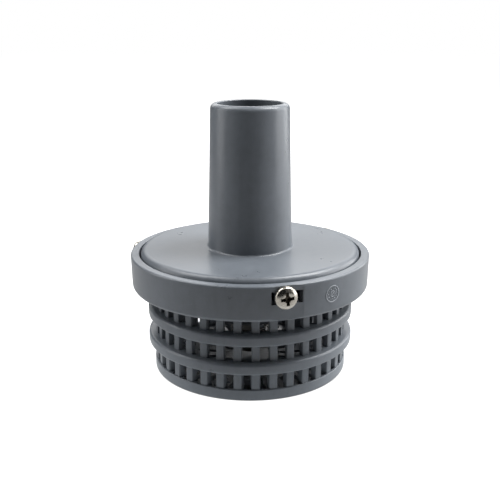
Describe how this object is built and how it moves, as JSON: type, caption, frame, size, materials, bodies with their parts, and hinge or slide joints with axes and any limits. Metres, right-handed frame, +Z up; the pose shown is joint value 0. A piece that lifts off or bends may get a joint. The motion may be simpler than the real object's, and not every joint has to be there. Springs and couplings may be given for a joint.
{
  "type": "foot valve",
  "caption": "Foot valve for a suction hose: tapered hose spigot on a round cover, clamp ring with screws, slotted strainer basket and a sprung lift check valve inside.",
  "frame": {"origin": "middle of the base, on the face it stands on", "axes": "+Z up the valve's axis towards the hose spigot; the first screw is 15.2 degrees from -Y towards +X"},
  "size_m": [0.1014, 0.1013, 0.1113],
  "materials": {
    "grey_plastic": "satin moulded blue-grey plastic",
    "black_rubber": "dull black rubber",
    "white_plastic": "natural white bearing plastic",
    "spring_steel": "drawn stainless wire",
    "stainless": "turned and pressed stainless steel",
    "plated_steel": "bright nickel-plated steel"
  },
  "bodies": {
    "housing": {"outlet_cap": "grey_plastic", "clamp_ring": "grey_plastic", "strainer_basket": "grey_plastic", "valve_body": "grey_plastic", "cap_gasket": "black_rubber", "guide_bush": "white_plastic", "return_spring": "spring_steel", "clamp_screw_a": "plated_steel", "clamp_screw_b": "plated_steel", "clamp_screw_c": "plated_steel"},
    "poppet": {"valve_stem": "stainless", "seal_plate": "stainless", "poppet_seal": "black_rubber", "poppet_disc": "grey_plastic", "top_washer": "stainless", "top_nut": "stainless", "spring_retainer": "stainless", "stem_lock_nut": "stainless"}
  },
  "joints": [
    {"name": "poppet_lift", "type": "slide", "parent": "housing", "child": "poppet", "axis": [0, 0, 1], "range_m": [0, 0.008], "stiffness_N_per_m": 250, "springref_m": -0.006, "deforming": ["return_spring"]}
  ]
}
